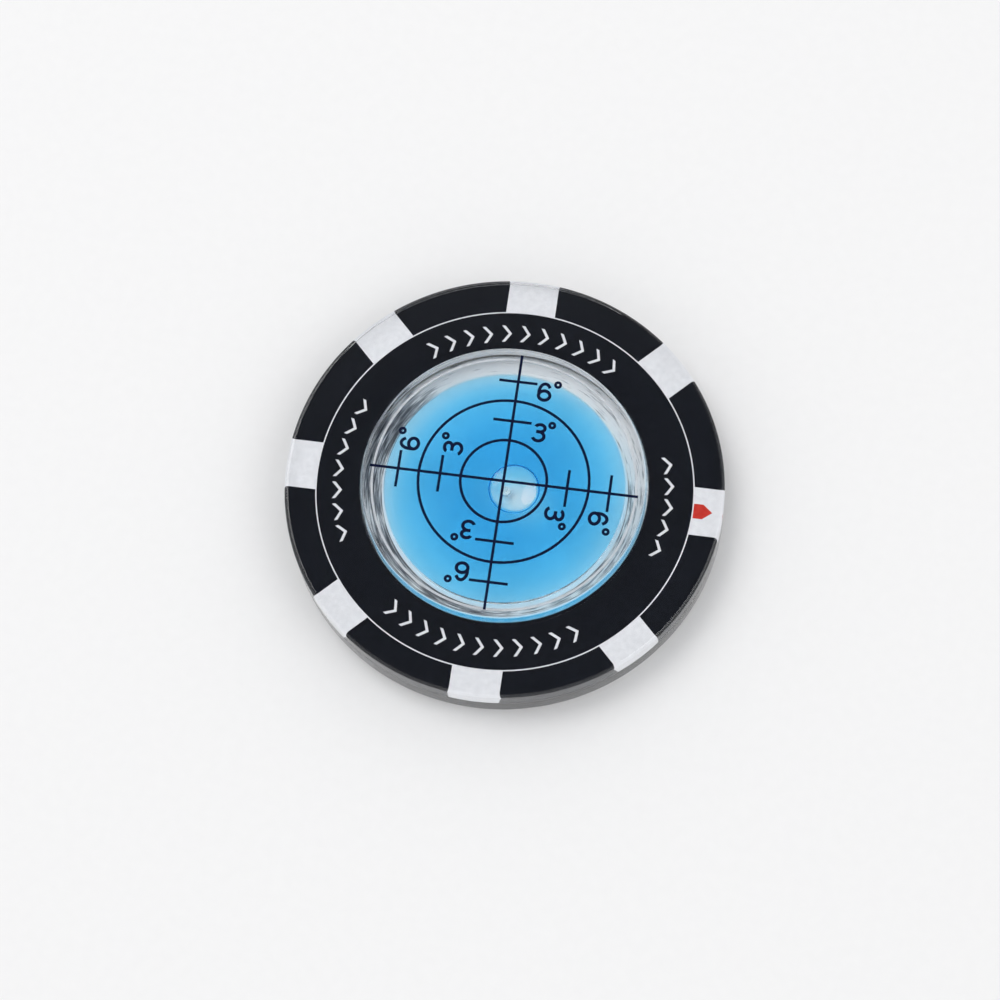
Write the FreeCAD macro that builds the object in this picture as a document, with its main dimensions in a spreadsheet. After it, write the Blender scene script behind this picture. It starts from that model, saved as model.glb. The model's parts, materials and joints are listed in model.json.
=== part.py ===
import FreeCAD, Part
import math
import os

import Sketcher

# Ball marker: a clear laminated chip with a printed sheet inside and a round bubble level set in its middle.
# Millimetres, +Z up. The origin is the middle of the chip's underside. +X points at the block with the arrow.

# Driving dimensions: one row each, name and value.
DIMENSIONS = [
    # the chip and its layers, from the underside up
    ("chip_radius", 20.0),
    ("base_thickness", 2.40),
    ("bond_thickness", 0.05),
    ("label_thickness", 0.12),
    ("cover_thickness", 1.88),
    ("cover_rounding", 0.40),
    ("base_rounding", 0.30),
    ("bore_clearance", 0.15),
    ("bore_chamfer", 0.10),
    ("pocket_floor", 1.00),
    # the print inside the chip
    ("ink_depth", 0.04),
    ("block_length", 2.73),
    ("block_width", 4.56),
    ("block_count", 8),
    ("ring_line_width", 0.11),
    ("arrow_length", 1.72),
    ("arrow_width", 1.40),
    ("arrow_straight", 0.85),
    ("chevron_height", 1.60),
    ("chevron_advance", 0.62),
    ("chevron_stroke", 0.24),
    ("break_step", 6.60),
    ("slope_step", 7.80),
    ("break_chevrons", 11),
    ("downhill_chevrons", 7),
    ("uphill_chevrons", 5),
    # the level vial
    ("vial_radius", 12.95),
    ("vial_proud", 0.75),
    ("cup_wall", 1.95),
    ("cup_floor", 0.80),
    ("lid_flange", 0.90),
    ("lid_crown", 1.50),
    ("lid_rounding", 0.30),
    ("spigot_clearance", 0.05),
    ("dome_radius", 68.0),
    ("weld_inset", 0.95),
    ("weld_width", 0.20),
    ("weld_depth", 0.15),
    ("plug_radius", 0.49),
    ("plug_clearance", 0.01),
    ("plug_groove_depth", 0.08),
    ("plug_groove_outer", 0.34),
    ("plug_groove_inner", 0.17),
    ("plug_groove_lean", 0.04),
    ("backing_thickness", 0.10),
    ("backing_margin", 0.20),
    ("glue_height", 1.35),
    # the liquid and its bubble
    ("liquid_clearance", 0.03),
    ("bubble_radius", 2.35),
    ("bubble_depth", 0.80),
    ("bubble_shoulder", 0.40),
    ("bubble_clearance", 0.05),
    ("bubble_offset", 0.96),
    ("bubble_bearing", -12.0),
    # the print on the lid
    ("print_thickness", 0.03),
    ("line_width", 0.25),
    ("inner_circle", 3.92),
    ("outer_circle", 7.75),
    ("cross_margin", 0.70),
    ("three_tick", 5.80),
    ("six_tick", 9.65),
    ("tick_length", 3.52),
    ("figure_height", 1.88),
    ("figure_width", 1.34),
    ("figure_stroke", 0.30),
    ("figure_side", 2.52),
    ("three_drop", 0.81),
    ("six_drop", 0.69),
    ("six_bowl", 1.20),
    ("three_upper_bowl", 1.00),
    ("three_narrowing", 0.16),
    ("three_bar", 0.24),
    ("degree_side", 1.13),
    ("degree_rise", 0.25),
    ("degree_radius", 0.36),
]

# Heights above the underside, each from the layers below it.
LABEL_BOTTOM = "(sizes.base_thickness + sizes.bond_thickness)"
LABEL_TOP = "(%s + sizes.label_thickness)" % LABEL_BOTTOM
COVER_BOTTOM = "(%s + sizes.bond_thickness)" % LABEL_TOP
CHIP_TOP = "(%s + sizes.cover_thickness)" % COVER_BOTTOM
CUP_BOTTOM = "(sizes.pocket_floor + sizes.backing_thickness)"
LID_TOP = "(%s + sizes.vial_proud)" % CHIP_TOP
LID_SEAT = "(%s - sizes.lid_flange)" % LID_TOP
DOME_CENTRE = "(%s - sizes.lid_crown - sizes.dome_radius)" % LID_TOP

# Radii that follow from the driving ones.
BORE_RADIUS = "(sizes.vial_radius + sizes.bore_clearance)"
CAVITY_RADIUS = "(sizes.vial_radius - sizes.cup_wall)"
RING_LINE_OUTER = "(sizes.chip_radius - sizes.block_length)"
RING_LINE_INNER = "(%s - sizes.ring_line_width)" % RING_LINE_OUTER
BAND_MIDDLE = "((%s + %s) / 2)" % (BORE_RADIUS, RING_LINE_INNER)
BACKING_RADIUS = "(%s + sizes.backing_margin)" % CAVITY_RADIUS
WELD_OUTER = "(sizes.vial_radius - sizes.weld_inset + sizes.weld_width / 2)"
WELD_INNER = "(sizes.vial_radius - sizes.weld_inset - sizes.weld_width / 2)"
LIQUID_RADIUS = "(%s - sizes.liquid_clearance)" % CAVITY_RADIUS
BUBBLE_ROOF = "(sizes.dome_radius - sizes.liquid_clearance)"
BUBBLE_CENTRE = "(%s - sizes.bubble_shoulder)" % BUBBLE_ROOF

ORIGIN = FreeCAD.Vector(0, 0, 0)
UP = FreeCAD.Vector(0, 0, 1)
FULL_TURN = 360
QUARTER_TURNS = (0, 90, 180, 270)

# Where the bows of the two figures start and end, in degrees anticlockwise from +X.
SIX_STEM = (32, 205)
THREE_UPPER_BOW = (-90, 158)
THREE_LOWER_BOW = (-160, 90)

# Rows of chevrons in the black band: the row's name, its bearing, its count, its step, and the turn of each
# chevron about its own middle. They point to the reader's right on +Y, to the middle on -X, to the reader's
# left on -Y and to the rim on +X, where the reader stands in the middle and looks out.
MARK_ROWS = [
    ("break_right_marks", 90, "break_chevrons", "break_step", 0),
    ("downhill_marks", 180, "downhill_chevrons", "slope_step", -90),
    ("break_left_marks", 270, "break_chevrons", "break_step", 180),
    ("uphill_marks", 0, "uphill_chevrons", "slope_step", 90),
]

CLOSE = 1e-6            # two lengths this near, in mm, are the same edge
VOLUME_SHARE = 0.01     # how far a cut's volume may be from the worked-out one

doc = FreeCAD.newDocument("ball_marker")
sheet = doc.addObject("Spreadsheet::Sheet", "sizes")
for row, (name, number) in enumerate(DIMENSIONS, start=1):
    sheet.set("A%d" % row, name)
    sheet.set("B%d" % row, str(number))
    sheet.setAlias("B%d" % row, name)
doc.recompute()


def value(expression):
    """The number that an expression over the sheet stands for."""
    return float(sheet.evalExpression(expression))


def size(name):
    """One driving dimension."""
    return value("sizes." + name)


# ---- sketching and features -------------------------------------------------------------------------------

def new_body(label, height=None):
    """An empty body, its underside lifted to the given height."""
    body = doc.addObject("PartDesign::Body", label)
    body.Label = label
    body.AllowCompound = True
    if height is not None:
        body.setExpression("Placement.Base.z", height)
    return body


def new_sketch(body, name, role="XY_Plane", height=None):
    """A sketch on one of the body's own origin planes, moved up by a height where one is given."""
    sketch = body.newObject("Sketcher::SketchObject", name)
    plane = next(feature for feature in body.Origin.OriginFeatures if feature.Role == role)
    sketch.AttachmentSupport = [(plane, "")]
    sketch.MapMode = "FlatFace"
    if height is not None:
        sketch.setExpression(".AttachmentOffset.Base.z", height)
    return sketch


def bind(sketch, expression, kind, *places):
    """A dimension in a sketch that takes its number from the sheet."""
    index = sketch.addConstraint(Sketcher.Constraint(kind, *places, value(expression)))
    sketch.setExpression("Constraints[%d]" % index, expression)


def pin_point(sketch, geometry, point, across, along):
    """Holds a sketch point at the two distances from the origin that the expressions give."""
    for kind, axis, expression in (("DistanceX", -2, across), ("DistanceY", -1, along)):
        if expression == "0":
            sketch.addConstraint(Sketcher.Constraint("PointOnObject", geometry, point, axis))
        else:
            bind(sketch, expression, kind, -1, 1, geometry, point)


def add_circle(sketch, radius):
    """A circle about the sketch's origin."""
    circle = sketch.addGeometry(Part.Circle(ORIGIN, UP, value(radius)), False)
    sketch.addConstraint(Sketcher.Constraint("Coincident", circle, 3, -1, 1))
    bind(sketch, radius, "Radius", circle)


def add_line(sketch, start, end):
    """A line between two corners, each a pair of expressions."""
    first = FreeCAD.Vector(value(start[0]), value(start[1]), 0)
    last = FreeCAD.Vector(value(end[0]), value(end[1]), 0)
    return sketch.addGeometry(Part.LineSegment(first, last), False)


def add_outline(sketch, corners):
    """A closed outline of straight lines, every corner held by its two expressions."""
    lines = [add_line(sketch, corner, after) for corner, after in zip(corners, corners[1:] + corners[:1])]
    for line, after in zip(lines, lines[1:] + lines[:1]):
        sketch.addConstraint(Sketcher.Constraint("Coincident", line, 2, after, 1))
    for line, (across, along) in zip(lines, corners):
        pin_point(sketch, line, 1, across, along)


def add_domed_outline(sketch, corners, dome_centre, dome_radius):
    """An outline closed by an arc about a point on the axis, from its last corner to its first."""
    lines = [add_line(sketch, corner, after) for corner, after in zip(corners, corners[1:])]
    for line, after in zip(lines, lines[1:]):
        sketch.addConstraint(Sketcher.Constraint("Coincident", line, 2, after, 1))
    for line, (across, along) in zip(lines[1:], corners[1:-1]):
        pin_point(sketch, line, 1, across, along)
    middle = FreeCAD.Vector(0, value(dome_centre), 0)
    reach = math.acos(value(corners[0][0]) / value(dome_radius))
    circle = Part.Circle(middle, UP, value(dome_radius))
    arc = sketch.addGeometry(Part.ArcOfCircle(circle, reach, math.pi / 2), False)
    sketch.addConstraint(Sketcher.Constraint("Coincident", arc, 1, lines[0], 1))
    sketch.addConstraint(Sketcher.Constraint("Coincident", arc, 2, lines[-1], 2))
    sketch.addConstraint(Sketcher.Constraint("PointOnObject", arc, 2, -2))
    sketch.addConstraint(Sketcher.Constraint("Vertical", lines[0]))
    pin_point(sketch, arc, 3, "0", dome_centre)
    bind(sketch, dome_radius, "Radius", arc)


def add_pad(body, sketch, length):
    """A pad of the sketch, upwards."""
    pad = body.newObject("PartDesign::Pad", sketch.Name + "_pad")
    pad.Profile = sketch
    pad.setExpression("Length", length)
    return pad


def add_revolution(body, sketch):
    """A full turn of the sketch about the body's upright axis."""
    turned = body.newObject("PartDesign::Revolution", sketch.Name + "_turned")
    turned.Profile = sketch
    turned.ReferenceAxis = (sketch, ["V_Axis"])
    turned.Angle = FULL_TURN
    return turned


def add_polar_pattern(body, feature, sketch, count):
    """Equal copies of a feature round the upright axis."""
    pattern = body.newObject("PartDesign::PolarPattern", feature.Name + "_pattern")
    pattern.Originals = [feature]
    pattern.Axis = (sketch, ["N_Axis"])
    pattern.Angle = FULL_TURN
    pattern.setExpression("Occurrences", count)
    body.Tip = pattern
    return pattern


def rim_edge(feature, radius, height):
    """The name of the circular edge of that radius at that height in the body's own frame."""
    for number, edge in enumerate(feature.Shape.Edges, start=1):
        curve = edge.Curve
        if not isinstance(curve, Part.Circle):
            continue
        if abs(curve.Radius - value(radius)) < CLOSE and abs(curve.Center.z - value(height)) < CLOSE:
            return "Edge%d" % number
    raise ValueError("no edge of radius %s at height %s" % (radius, height))


def round_rim(body, feature, radius, height, rounding):
    """A fillet on one circular edge."""
    doc.recompute()
    fillet = body.newObject("PartDesign::Fillet", feature.Name + "_rounded")
    fillet.Base = (feature, [rim_edge(feature, radius, height)])
    fillet.setExpression("Radius", rounding)
    return fillet


def make_ring(label, outer, inner, height, thickness):
    """A flat ring: two circles, padded."""
    body = new_body(label, height)
    sketch = new_sketch(body, label + "_outline")
    add_circle(sketch, outer)
    add_circle(sketch, inner)
    add_pad(body, sketch, thickness)
    return body


# ---- the chip ---------------------------------------------------------------------------------------------

def make_base_disc():
    """Lower layer with the blind pocket that the vial sits in."""
    body = new_body("base_disc", "0")
    outline = new_sketch(body, "base_outline")
    add_circle(outline, "sizes.chip_radius")
    pad = add_pad(body, outline, "sizes.base_thickness")
    mouth = new_sketch(body, "pocket_outline", height="sizes.base_thickness")
    add_circle(mouth, BORE_RADIUS)
    pocket = body.newObject("PartDesign::Pocket", "vial_pocket")
    pocket.Profile = mouth
    pocket.setExpression("Length", "sizes.base_thickness - sizes.pocket_floor")
    doc.recompute()
    removed = pad.Shape.Volume - pocket.Shape.Volume
    expected = math.pi * value(BORE_RADIUS) ** 2 * (size("base_thickness") - size("pocket_floor"))
    if abs(removed - expected) > VOLUME_SHARE * expected:
        raise ValueError("the vial pocket does not cut the base")
    round_rim(body, pocket, "sizes.chip_radius", "0", "sizes.base_rounding")
    return body


def make_top_cover():
    """Upper layer: a ring with a rounded rim and a chamfered hole for the vial."""
    body = make_ring("top_cover", "sizes.chip_radius", BORE_RADIUS, COVER_BOTTOM, "sizes.cover_thickness")
    rounded = round_rim(body, body.Tip, "sizes.chip_radius", "sizes.cover_thickness", "sizes.cover_rounding")
    doc.recompute()
    chamfer = body.newObject("PartDesign::Chamfer", "bore_mouth")
    chamfer.Base = (rounded, [rim_edge(rounded, BORE_RADIUS, "sizes.cover_thickness")])
    chamfer.setExpression("Size", "sizes.bore_chamfer")
    return body


def block_body(label, number):
    """White block with parallel sides, from the ring line out to the rim; number 0 is on +X."""
    body = new_body(label, LABEL_BOTTOM)
    body.setExpression("Placement.Rotation.Angle", "%d deg * %d / sizes.block_count" % (FULL_TURN, number))
    sketch = new_sketch(body, label + "_outline")
    half_width = size("block_width") / 2
    inner = value(RING_LINE_OUTER)
    outer = size("chip_radius")
    inner_angle = math.asin(half_width / inner)
    outer_angle = math.asin(half_width / outer)
    inside = sketch.addGeometry(
        Part.ArcOfCircle(Part.Circle(ORIGIN, UP, inner), -inner_angle, inner_angle), False)
    outside = sketch.addGeometry(
        Part.ArcOfCircle(Part.Circle(ORIGIN, UP, outer), -outer_angle, outer_angle), False)
    start = FreeCAD.Vector(inner * math.cos(inner_angle), half_width, 0)
    end = FreeCAD.Vector(outer * math.cos(outer_angle), half_width, 0)
    left = sketch.addGeometry(Part.LineSegment(start, end), False)
    start.y = -half_width
    end.y = -half_width
    right = sketch.addGeometry(Part.LineSegment(start, end), False)
    for arc, radius in ((inside, RING_LINE_OUTER), (outside, "sizes.chip_radius")):
        sketch.addConstraint(Sketcher.Constraint("Coincident", arc, 3, -1, 1))
        bind(sketch, radius, "Radius", arc)
    for arc, end_point in ((inside, 1), (outside, 2)):
        sketch.addConstraint(Sketcher.Constraint("Coincident", right, end_point, arc, 1))
        sketch.addConstraint(Sketcher.Constraint("Coincident", left, end_point, arc, 2))
    for line, side in ((left, "sizes.block_width / 2"), (right, "-sizes.block_width / 2")):
        sketch.addConstraint(Sketcher.Constraint("Horizontal", line))
        bind(sketch, side, "DistanceY", -1, 1, line, 1)
    add_pad(body, sketch, "sizes.label_thickness")
    return body


def make_uphill_arrow():
    """Arrow let into the block on +X: straight sides, then a point towards the rim."""
    body = new_body("uphill_arrow", "%s - sizes.ink_depth" % LABEL_TOP)
    sketch = new_sketch(body, "arrow_outline")
    foot = RING_LINE_OUTER
    shoulder = "%s + sizes.arrow_straight" % foot
    point = "%s + sizes.arrow_length" % foot
    half = "sizes.arrow_width / 2"
    add_outline(sketch, [(foot, "-" + half), (shoulder, "-" + half), (point, "0"),
                         (shoulder, half), (foot, half)])
    add_pad(body, sketch, "sizes.ink_depth")
    return body


def make_edge_blocks(arrow):
    """The ring of blocks; the one on +X has the arrow's recess."""
    marked = doc.addObject("Part::Cut", "edge_block_1")
    marked.Base = block_body("edge_block_blank", 0)
    marked.Tool = arrow
    count = round(size("block_count"))
    return [marked] + [block_body("edge_block_%d" % (number + 1), number) for number in range(1, count)]


def chevron_face(turn_about_middle):
    """One chevron in the black band on +X, pointing clockwise, or turned about its own middle."""
    tip = size("chevron_advance") / 2
    half_height = size("chevron_height") / 2
    slope = math.hypot(size("chevron_advance"), half_height) / half_height
    back = tip - size("chevron_stroke") * slope
    tail = tip - size("chevron_advance")
    behind = back - size("chevron_advance")
    corners = [(tip, 0), (tail, half_height), (behind, half_height),
               (back, 0), (behind, -half_height), (tail, -half_height)]
    points = [FreeCAD.Vector(along, -across, 0) for across, along in corners + corners[:1]]
    face = Part.Face(Part.makePolygon(points))
    face.rotate(ORIGIN, UP, turn_about_middle)
    face.translate(FreeCAD.Vector(value(BAND_MIDDLE), 0, 0))
    return face


def make_direction_marks(label, bearing, count_name, step_name, turn):
    """One row of white chevrons in the black band, which shows a way the ball may run."""
    count = round(size(count_name))
    solids = []
    for number in range(count):
        lean = (number - (count - 1) / 2) * size(step_name)
        mark = chevron_face(turn).extrude(UP * size("ink_depth"))
        mark.rotate(ORIGIN, UP, bearing + lean)
        solids.append(mark)
    marks = doc.addObject("Part::Feature", label)
    marks.Shape = Part.makeCompound(solids)
    marks.setExpression("Placement.Base.z", "%s - sizes.ink_depth" % LABEL_TOP)
    return marks


def make_label_film(blocks, ring_line, marks, arrow):
    """Black sheet: a ring with the white and red print let into it."""
    blank = make_ring("label_blank", "sizes.chip_radius", BORE_RADIUS, LABEL_BOTTOM, "sizes.label_thickness")
    inks = doc.addObject("Part::Compound", "label_inks")
    inks.Links = blocks + marks + [ring_line, arrow]
    film = doc.addObject("Part::Cut", "label_film")
    film.Base = blank
    film.Tool = inks
    return film


# ---- the level vial ---------------------------------------------------------------------------------------

def make_backing():
    """White disc between the pocket's floor and the cup, a little wider than the liquid."""
    body = new_body("vial_backing", "sizes.pocket_floor")
    sketch = new_sketch(body, "backing_outline")
    add_circle(sketch, BACKING_RADIUS)
    add_pad(body, sketch, "sizes.backing_thickness")
    return body


def make_bond_ring():
    """Adhesive round the vial's foot and under its rim, out from the backing."""
    body = new_body("vial_bond_ring", "sizes.pocket_floor")
    sketch = new_sketch(body, "bond_section", "XZ_Plane")
    add_outline(sketch, [(BACKING_RADIUS, "0"), (BORE_RADIUS, "0"), (BORE_RADIUS, "sizes.glue_height"),
                         ("sizes.vial_radius", "sizes.glue_height"),
                         ("sizes.vial_radius", "sizes.backing_thickness"),
                         (BACKING_RADIUS, "sizes.backing_thickness")])
    add_revolution(body, sketch)
    return body


def make_vial_cup():
    """Cup with a plain bore, a filling hole in its floor and a groove for the weld in its rim."""
    body = new_body("vial_cup", CUP_BOTTOM)
    sketch = new_sketch(body, "cup_section", "XZ_Plane")
    rim = "%s - %s" % (LID_SEAT, CUP_BOTTOM)
    groove = "%s - sizes.weld_depth" % rim
    hole = "sizes.plug_radius + sizes.plug_clearance"
    add_outline(sketch, [(hole, "0"), ("sizes.vial_radius", "0"), ("sizes.vial_radius", rim),
                         (WELD_OUTER, rim), (WELD_OUTER, groove), (WELD_INNER, groove), (WELD_INNER, rim),
                         (CAVITY_RADIUS, rim), (CAVITY_RADIUS, "sizes.cup_floor"), (hole, "sizes.cup_floor")])
    add_revolution(body, sketch)
    return body


def make_fill_plug():
    """Plug that seals the filling hole, with a ring groove in its head."""
    body = new_body("fill_plug", CUP_BOTTOM)
    sketch = new_sketch(body, "plug_section", "XZ_Plane")
    head = "sizes.cup_floor"
    bottom = "sizes.cup_floor - sizes.plug_groove_depth"
    add_outline(sketch, [("0", "0"), ("sizes.plug_radius", "0"), ("sizes.plug_radius", head),
                         ("sizes.plug_groove_outer", head),
                         ("sizes.plug_groove_outer - sizes.plug_groove_lean", bottom),
                         ("sizes.plug_groove_inner + sizes.plug_groove_lean", bottom),
                         ("sizes.plug_groove_inner", head), ("0", head)])
    add_revolution(body, sketch)
    return body


def make_vial_lid():
    """Lid: a flange on the cup's rim, a spigot in its bore and a dome underneath."""
    body = new_body("vial_lid", LID_SEAT)
    sketch = new_sketch(body, "lid_section", "XZ_Plane")
    spigot = "%s - sizes.spigot_clearance" % CAVITY_RADIUS
    dome_centre = "%s - %s" % (DOME_CENTRE, LID_SEAT)
    edge = "%s + sqrt(sizes.dome_radius ^ 2 - (%s) ^ 2)" % (dome_centre, spigot)
    crown = "sizes.lid_flange - sizes.lid_crown"
    add_domed_outline(sketch, [(spigot, edge), (spigot, "0"), ("sizes.vial_radius", "0"),
                               ("sizes.vial_radius", "sizes.lid_flange"), ("0", "sizes.lid_flange"),
                               ("0", crown)], dome_centre, "sizes.dome_radius")
    turned = add_revolution(body, sketch)
    round_rim(body, turned, "sizes.vial_radius", "sizes.lid_flange", "sizes.lid_rounding")
    return body


def bubble_ellipsoid(label, growth):
    """Flattened ball about the bubble's middle, in a frame with its origin at the dome's centre."""
    ball = doc.addObject("Part::Ellipsoid", label)
    ball.setExpression("Radius1", "sizes.bubble_depth + %s" % growth)
    ball.setExpression("Radius2", "sizes.bubble_radius + %s" % growth)
    ball.setExpression("Radius3", "sizes.bubble_radius + %s" % growth)
    ball.setExpression("Placement.Base.z", BUBBLE_CENTRE)
    return ball


def lean_on_dome(piece):
    """Turns a piece about the dome's centre, from the middle of the dome to where the bubble stands."""
    bearing = math.radians(size("bubble_bearing"))
    axis = FreeCAD.Vector(-math.sin(bearing), math.cos(bearing), 0)
    lean = math.degrees(math.asin(size("bubble_offset") / value(BUBBLE_CENTRE)))
    lift = FreeCAD.Vector(0, 0, value(DOME_CENTRE))
    piece.Placement = FreeCAD.Placement(lift, FreeCAD.Rotation(axis, lean))


def make_air_bubble():
    """Bubble: a flattened ball whose top follows the dome."""
    roof = doc.addObject("Part::Sphere", "bubble_roof")
    roof.setExpression("Radius", BUBBLE_ROOF)
    bubble = doc.addObject("Part::Common", "air_bubble")
    bubble.Base = bubble_ellipsoid("bubble_ball", "0")
    bubble.Tool = roof
    lean_on_dome(bubble)
    return bubble


def make_level_liquid():
    """Liquid: it fills the cavity up to the dome, less the room the bubble takes."""
    body = new_body("liquid_fill", "%s + sizes.cup_floor" % CUP_BOTTOM)
    sketch = new_sketch(body, "liquid_section", "XZ_Plane")
    dome_centre = "%s - %s - sizes.cup_floor" % (DOME_CENTRE, CUP_BOTTOM)
    edge = "%s + sqrt(%s ^ 2 - %s ^ 2)" % (dome_centre, BUBBLE_ROOF, LIQUID_RADIUS)
    top = "%s + %s" % (dome_centre, BUBBLE_ROOF)
    add_domed_outline(sketch, [(LIQUID_RADIUS, edge), (LIQUID_RADIUS, "sizes.liquid_clearance"),
                               ("0", "sizes.liquid_clearance"), ("0", top)], dome_centre, BUBBLE_ROOF)
    add_revolution(body, sketch)
    room = doc.addObject("Part::Compound", "bubble_room")
    room.Links = [bubble_ellipsoid("bubble_room_ball", "sizes.bubble_clearance")]
    lean_on_dome(room)
    liquid = doc.addObject("Part::Cut", "level_liquid")
    liquid.Base = body
    liquid.Tool = room
    return liquid


# ---- the print on the lid ---------------------------------------------------------------------------------

def make_reticle_lines():
    """Crosshair, two circles and the tick marks, as one layer of print."""
    body = new_body("reticle_lines", LID_TOP)
    cross = new_sketch(body, "cross_outline")
    arm = "(sizes.vial_radius - sizes.cross_margin)"
    half = "(sizes.line_width / 2)"
    add_outline(cross, [(arm, "-" + half), (arm, half), (half, half), (half, arm), ("-" + half, arm),
                        ("-" + half, half), ("-" + arm, half), ("-" + arm, "-" + half),
                        ("-" + half, "-" + half), ("-" + half, "-" + arm), (half, "-" + arm),
                        (half, "-" + half)])
    add_pad(body, cross, "sizes.print_thickness")
    for name in ("inner_circle", "outer_circle"):
        circle = new_sketch(body, name + "_outline")
        add_circle(circle, "sizes.%s + %s" % (name, half))
        add_circle(circle, "sizes.%s - %s" % (name, half))
        add_pad(body, circle, "sizes.print_thickness")
    ticks = new_sketch(body, "tick_outline")
    reach = "sizes.tick_length / 2"
    for name in ("three_tick", "six_tick"):
        near = "sizes.%s - %s" % (name, half)
        far = "sizes.%s + %s" % (name, half)
        add_outline(ticks, [(near, "-" + reach), (far, "-" + reach), (far, reach), (near, reach)])
    pad = add_pad(body, ticks, "sizes.print_thickness")
    add_polar_pattern(body, pad, ticks, str(len(QUARTER_TURNS)))
    return body


def bow(middle, across, along, start, end):
    """An arc of an ellipse with its axes on X and Y, between two angles in degrees, anticlockwise."""
    side = FreeCAD.Vector(across, 0, 0)
    top = FreeCAD.Vector(0, along, 0)
    if along > across:
        ellipse = Part.Ellipse(middle + top, middle - side, middle)
        start, end = start - FULL_TURN / 4, end - FULL_TURN / 4
    else:
        ellipse = Part.Ellipse(middle + side, middle + top, middle)
    return Part.ArcOfEllipse(ellipse, math.radians(start), math.radians(end)).toShape()


def bow_stroke(middle, across, along, angles, stroke):
    """A stroke along an arc of an ellipse, with square ends."""
    half = stroke / 2
    edges = [bow(middle, across + reach, along + reach, *angles) for reach in (half, -half)]
    for number in (0, 1):
        ends = [edge.Vertexes[number].Point for edge in edges[:2]]
        edges.append(Part.LineSegment(*ends).toShape())
    return Part.Face(Part.Wire(Part.__sortEdges__(edges)))


def closed_stroke(middle, across, along, stroke):
    """A stroke all the way round an ellipse."""
    half = stroke / 2
    outer, inner = (Part.Face(Part.Wire(bow(middle, across + reach, along + reach, 0, FULL_TURN)))
                    for reach in (half, -half))
    return outer.cut(inner)


def six_strokes(height, width, stroke):
    """Figure 6 about the origin: a closed bowl and a stem that bends over it."""
    across, along = (width - stroke) / 2, (height - stroke) / 2
    bowl = (size("six_bowl") - stroke) / 2
    return [closed_stroke(FreeCAD.Vector(0, bowl - along, 0), across, bowl, stroke),
            bow_stroke(ORIGIN, across, along, SIX_STEM, stroke)]


def three_strokes(height, width, stroke):
    """Figure 3 about the origin: two open bows that meet in a short bar."""
    across, along = (width - stroke) / 2, (height - stroke) / 2
    upper = (size("three_upper_bowl") - stroke) / 2
    lower = along - upper
    upper_across = across - size("three_narrowing") / 2
    waist = along - 2 * upper
    upper_middle = FreeCAD.Vector(across - upper_across, along - upper, 0)
    bar = Part.makePlane(size("three_bar"), stroke,
                         FreeCAD.Vector(-size("three_bar"), waist - stroke / 2, 0))
    return [bow_stroke(upper_middle, upper_across, upper, THREE_UPPER_BOW, stroke),
            bow_stroke(FreeCAD.Vector(0, lower - along, 0), across, lower, THREE_LOWER_BOW, stroke), bar]


def degree_strokes(radius, stroke):
    """Degree sign about the origin."""
    return [closed_stroke(ORIGIN, radius - stroke / 2, radius - stroke / 2, stroke)]


def make_degree_figures():
    """3 and 6 with degree signs at the clockwise end of each tick, upright when seen from the middle."""
    stroke, height, width = size("figure_stroke"), size("figure_height"), size("figure_width")
    degree = degree_strokes(size("degree_radius"), size("line_width"))
    degree_lift = height / 2 + size("degree_rise") - size("degree_radius")
    solids = []
    for strokes, middle in (
            (three_strokes(height, width, stroke), size("three_tick") - size("three_drop")),
            (six_strokes(height, width, stroke), size("six_tick") - size("six_drop"))):
        figure_place = FreeCAD.Vector(size("figure_side"), middle, 0)
        degree_place = figure_place + FreeCAD.Vector(size("degree_side"), degree_lift, 0)
        for faces, place in ((strokes, figure_place), (degree, degree_place)):
            raised = [face.extrude(UP * size("print_thickness")) for face in faces]
            figure = raised[0].multiFuse(raised[1:]).removeSplitter() if raised[1:] else raised[0].copy()
            figure.translate(place)
            for bearing in QUARTER_TURNS:
                turned = figure.copy()
                turned.rotate(ORIGIN, UP, bearing)
                solids += turned.Solids
    figures = doc.addObject("Part::Feature", "degree_figures")
    figures.Shape = Part.makeCompound(solids)
    figures.setExpression("Placement.Base.z", LID_TOP)
    return figures


# ---- all pieces -------------------------------------------------------------------------------------------

def make_pieces():
    """Every sub-part, from the underside up."""
    arrow = make_uphill_arrow()
    blocks = make_edge_blocks(arrow)
    ink_bottom = "%s - sizes.ink_depth" % LABEL_TOP
    ring_line = make_ring("ring_line", RING_LINE_OUTER, RING_LINE_INNER, ink_bottom, "sizes.ink_depth")
    marks = [make_direction_marks(*row) for row in MARK_ROWS]
    chip = [
        make_base_disc(),
        make_ring("lower_bond_film", "sizes.chip_radius", BORE_RADIUS, "sizes.base_thickness",
                  "sizes.bond_thickness"),
        make_label_film(blocks, ring_line, marks, arrow),
        ring_line,
        arrow,
        make_ring("upper_bond_film", "sizes.chip_radius", BORE_RADIUS, LABEL_TOP, "sizes.bond_thickness"),
        make_top_cover(),
    ]
    vial = [
        make_backing(),
        make_bond_ring(),
        make_vial_cup(),
        make_fill_plug(),
        make_level_liquid(),
        make_air_bubble(),
        make_ring("weld_bead", WELD_OUTER, WELD_INNER, "%s - sizes.weld_depth" % LID_SEAT,
                  "sizes.weld_depth"),
        make_vial_lid(),
        make_reticle_lines(),
        make_degree_figures(),
    ]
    return chip + blocks + marks + vial


def check_document(pieces):
    """Stops if any object failed or any sub-part is empty or not valid."""
    for item in doc.Objects:
        if "Invalid" in item.State or "Error" in item.State:
            raise ValueError("%s: %s" % (item.Label, item.State))
    for piece in pieces:
        if piece.Shape.isNull() or not piece.Shape.isValid() or not piece.Shape.Solids:
            raise ValueError("%s has no valid solid" % piece.Label)


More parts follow.
